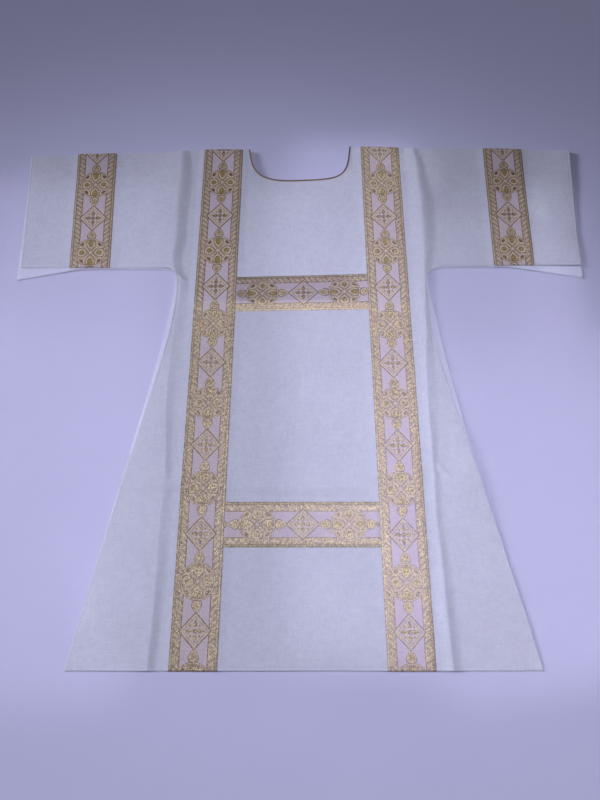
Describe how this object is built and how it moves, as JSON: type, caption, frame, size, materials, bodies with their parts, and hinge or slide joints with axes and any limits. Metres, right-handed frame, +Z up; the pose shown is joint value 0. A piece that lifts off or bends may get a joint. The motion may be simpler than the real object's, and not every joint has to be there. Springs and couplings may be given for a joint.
{
  "type": "dalmatic laid flat",
  "caption": "Ivory church dalmatic laid flat, front up, with gold galloon clavi, cross bands, sleeve bands, a piped U neck and open sides.",
  "frame": {"origin": "under the middle of the garment's box, on the surface that it lies on", "axes": "+Z up from the surface, +Y from the hem towards the shoulders, +X from the left of the front as seen to its right"},
  "size_m": [1.271, 1.1612, 0.0113],
  "materials": {
    "ivory_cloth": "matt woven cloth with a faint sheen",
    "white_lining": "smooth satin",
    "gold_galloon": "jacquard ribbon with gold thread",
    "gold_piping": "gold cord"
  },
  "bodies": {
    "root": {"front": "ivory_cloth", "back": "ivory_cloth", "lining_left": "white_lining", "lining_right": "white_lining", "clavus_left": "gold_galloon", "clavus_right": "gold_galloon", "sleeve_band_left": "gold_galloon", "sleeve_band_right": "gold_galloon", "cross_band_upper": "gold_galloon", "cross_band_lower": "gold_galloon", "neck_piping_front": "gold_piping", "neck_piping_back": "gold_piping"}
  },
  "joints": []
}
